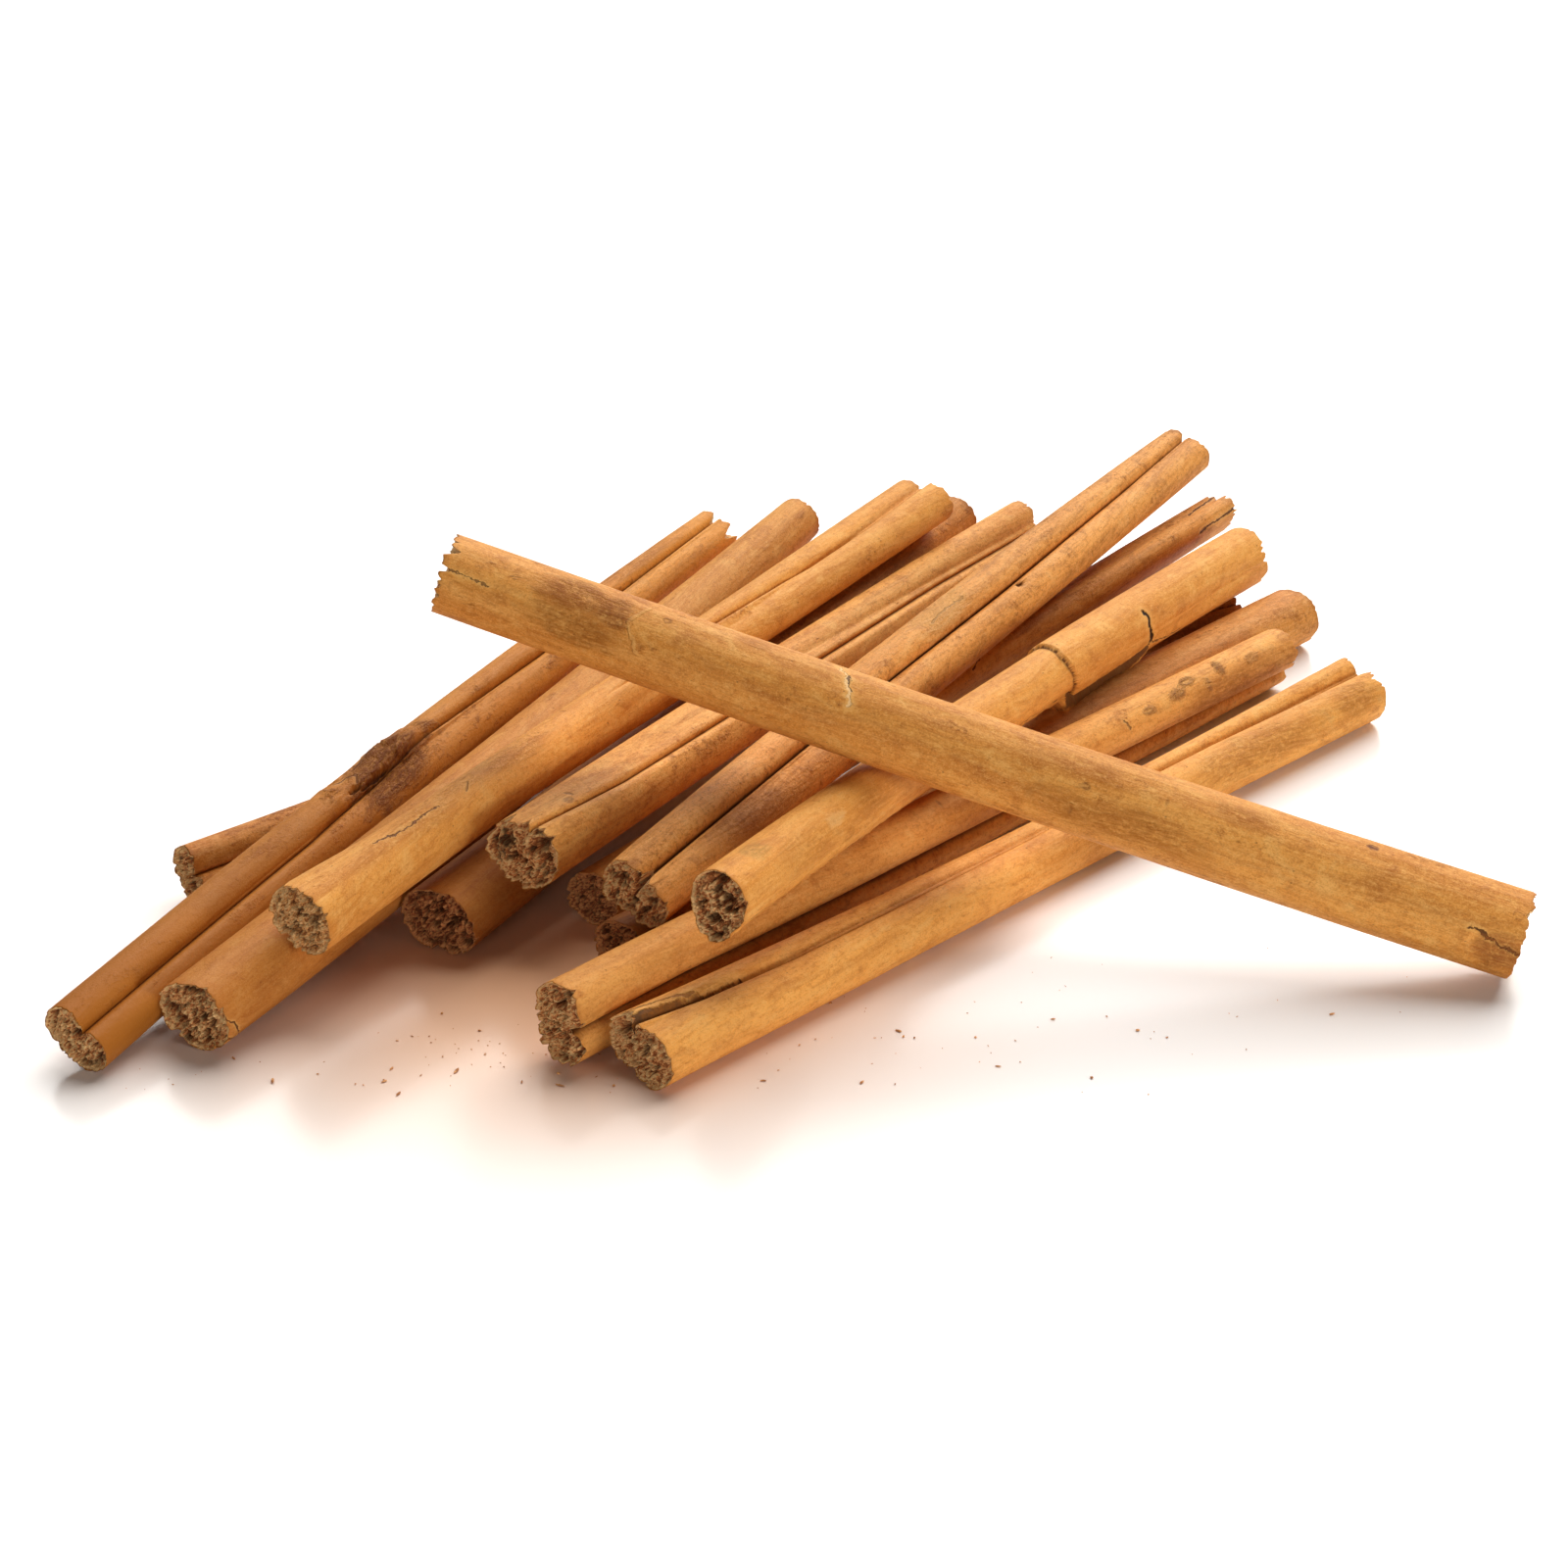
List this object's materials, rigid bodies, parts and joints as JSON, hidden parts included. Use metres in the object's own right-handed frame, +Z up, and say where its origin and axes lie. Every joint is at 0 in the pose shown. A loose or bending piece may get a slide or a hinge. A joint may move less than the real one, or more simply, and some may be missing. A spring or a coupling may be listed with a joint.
{
  "type": "stack of cinnamon sticks",
  "caption": "Loose stack of long rolled-bark sticks lying as they fell, most side by side in two layers and one leaning across the top.",
  "frame": {"origin": "middle of the stack's footprint, on the surface it lies on", "axes": "+Z up; +Y away from the viewer, towards the far ends of most sticks, which lie 30 to 56 degrees to the right of it; +X to the right, where the stick that leans across the top comes down to the surface"},
  "size_m": [0.1562, 0.1404, 0.0403],
  "materials": {
    "bark_gold": "matt, fine lengthwise grain",
    "bark_tan": "matt, fine lengthwise grain",
    "bark_amber": "matt, fine lengthwise grain",
    "bark_russet": "matt, fine lengthwise grain"
  },
  "bodies": {
    "root": {"quill_under_left": "bark_russet", "quill_left_outer": "bark_russet", "quill_left_inner": "bark_tan", "quill_lower_left": "bark_amber", "quill_under_right": "bark_russet", "quill_lower_middle": "bark_amber", "quill_lower_right": "bark_tan", "quill_right_inner": "bark_tan", "quill_right_outer": "bark_gold", "quill_upper_left": "bark_gold", "quill_upper_middle": "bark_tan", "quill_upper_right": "bark_amber", "quill_sleeved": "bark_gold", "quill_across": "bark_tan"}
  },
  "joints": []
}
